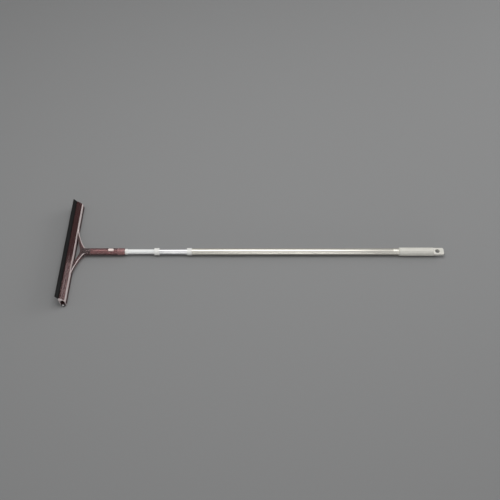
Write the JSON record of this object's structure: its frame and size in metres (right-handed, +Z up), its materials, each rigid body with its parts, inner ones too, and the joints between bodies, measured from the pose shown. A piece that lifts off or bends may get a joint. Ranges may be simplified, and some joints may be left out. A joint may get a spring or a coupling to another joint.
{
  "type": "window squeegee",
  "caption": "Window squeegee with a straight rubber blade on a Y-shaped yoke, a push-button socket and a twist-lock telescopic pole.",
  "frame": {"origin": "middle of the bounding box at floor level, with the squeegee lying on the heel of its head and on its grip", "axes": "+X along the pole towards the grip and hanging hole, +Y along the blade, +Z up from the floor"},
  "size_m": [1.057, 0.3554, 0.0414],
  "materials": {
    "rubber_black": "black moulded rubber, satin, fine lines along its length",
    "smoke_plastic": "clear smoky maroon-brown plastic, polished, lets light through",
    "dark_plastic": "near-black maroon plastic, glossy",
    "polished_steel": "polished steel screw heads",
    "white_plastic": "white moulded plastic, semi-gloss",
    "button_plastic": "white plastic with a faint pink cast, semi-gloss",
    "spring_steel": "plain drawn steel",
    "lock_plastic": "natural nylon",
    "lock_dark_plastic": "dark grey nylon",
    "white_enamel": "white baked enamel on steel tube, glossy",
    "silver_aluminium": "drawn bare aluminium, fine lines along the tube",
    "champagne_aluminium": "champagne anodised aluminium, satin, fine lines along the tube",
    "grip_plastic": "warm cream plastic, satin"
  },
  "bodies": {
    "outer_pole": {"outer_tube": "champagne_aluminium", "outer_collar": "white_plastic", "grip_ferrule": "champagne_aluminium", "grip_sleeve": "grip_plastic", "hanging_end": "grip_plastic"},
    "outer_lock": {"outer_lock_sleeve": "lock_dark_plastic"},
    "outer_cone": {"outer_lock_cone": "lock_plastic"},
    "middle_pole": {"middle_tube": "silver_aluminium", "middle_collar": "white_plastic", "outer_lock_spindle": "lock_plastic", "outer_lock_end_nut": "spring_steel"},
    "inner_lock": {"inner_lock_sleeve": "lock_dark_plastic"},
    "inner_cone": {"inner_lock_cone": "lock_plastic"},
    "head_pole": {"inner_tube": "white_enamel", "inner_lock_spindle": "lock_plastic", "inner_lock_end_nut": "spring_steel", "button_insert": "lock_plastic", "button_spring": "spring_steel", "yoke_socket": "smoke_plastic", "socket_bush": "white_plastic", "blade_holder": "smoke_plastic", "rubber_blade": "rubber_black", "end_cap_left": "dark_plastic", "end_cap_right": "dark_plastic", "end_cap_screws": "polished_steel"},
    "button": {"release_button": "button_plastic"}
  },
  "joints": [
    {"name": "outer_stage_extend", "type": "slide", "parent": "outer_pole", "child": "outer_lock", "axis": [-1, 0, 0], "range_m": [-0.073, 0.52]},
    {"name": "outer_stage_twist", "type": "hinge", "parent": "outer_lock", "child": "middle_pole", "pos_m": [0.3295, 0, 0.0115], "axis": [1, 0, 0], "range_deg": [0, 120]},
    {"name": "outer_cone_draw", "type": "slide", "parent": "outer_lock", "child": "outer_cone", "axis": [-1, 0, 0], "range_m": [0, 0.0007]},
    {"name": "inner_stage_extend", "type": "slide", "parent": "middle_pole", "child": "inner_lock", "axis": [-1, 0, 0], "range_m": [-0.072, 0.419]},
    {"name": "inner_stage_twist", "type": "hinge", "parent": "inner_lock", "child": "head_pole", "pos_m": [0.1895, 0, 0.0115], "axis": [1, 0, 0], "range_deg": [0, 120]},
    {"name": "inner_cone_draw", "type": "slide", "parent": "inner_lock", "child": "inner_cone", "axis": [-1, 0, 0], "range_m": [0, 0.0007]},
    {"name": "button_press", "type": "slide", "parent": "head_pole", "child": "button", "axis": [0, 0, -1], "range_m": [0, 0.0025], "stiffness_N_per_m": 400, "springref_m": -0.003, "deforming": ["button_spring"]}
  ],
  "couplings": [
    {"joint": "outer_cone_draw", "follows": "outer_stage_twist", "m_per_rad": 0.00031831},
    {"joint": "inner_cone_draw", "follows": "inner_stage_twist", "m_per_rad": 0.00031831}
  ]
}
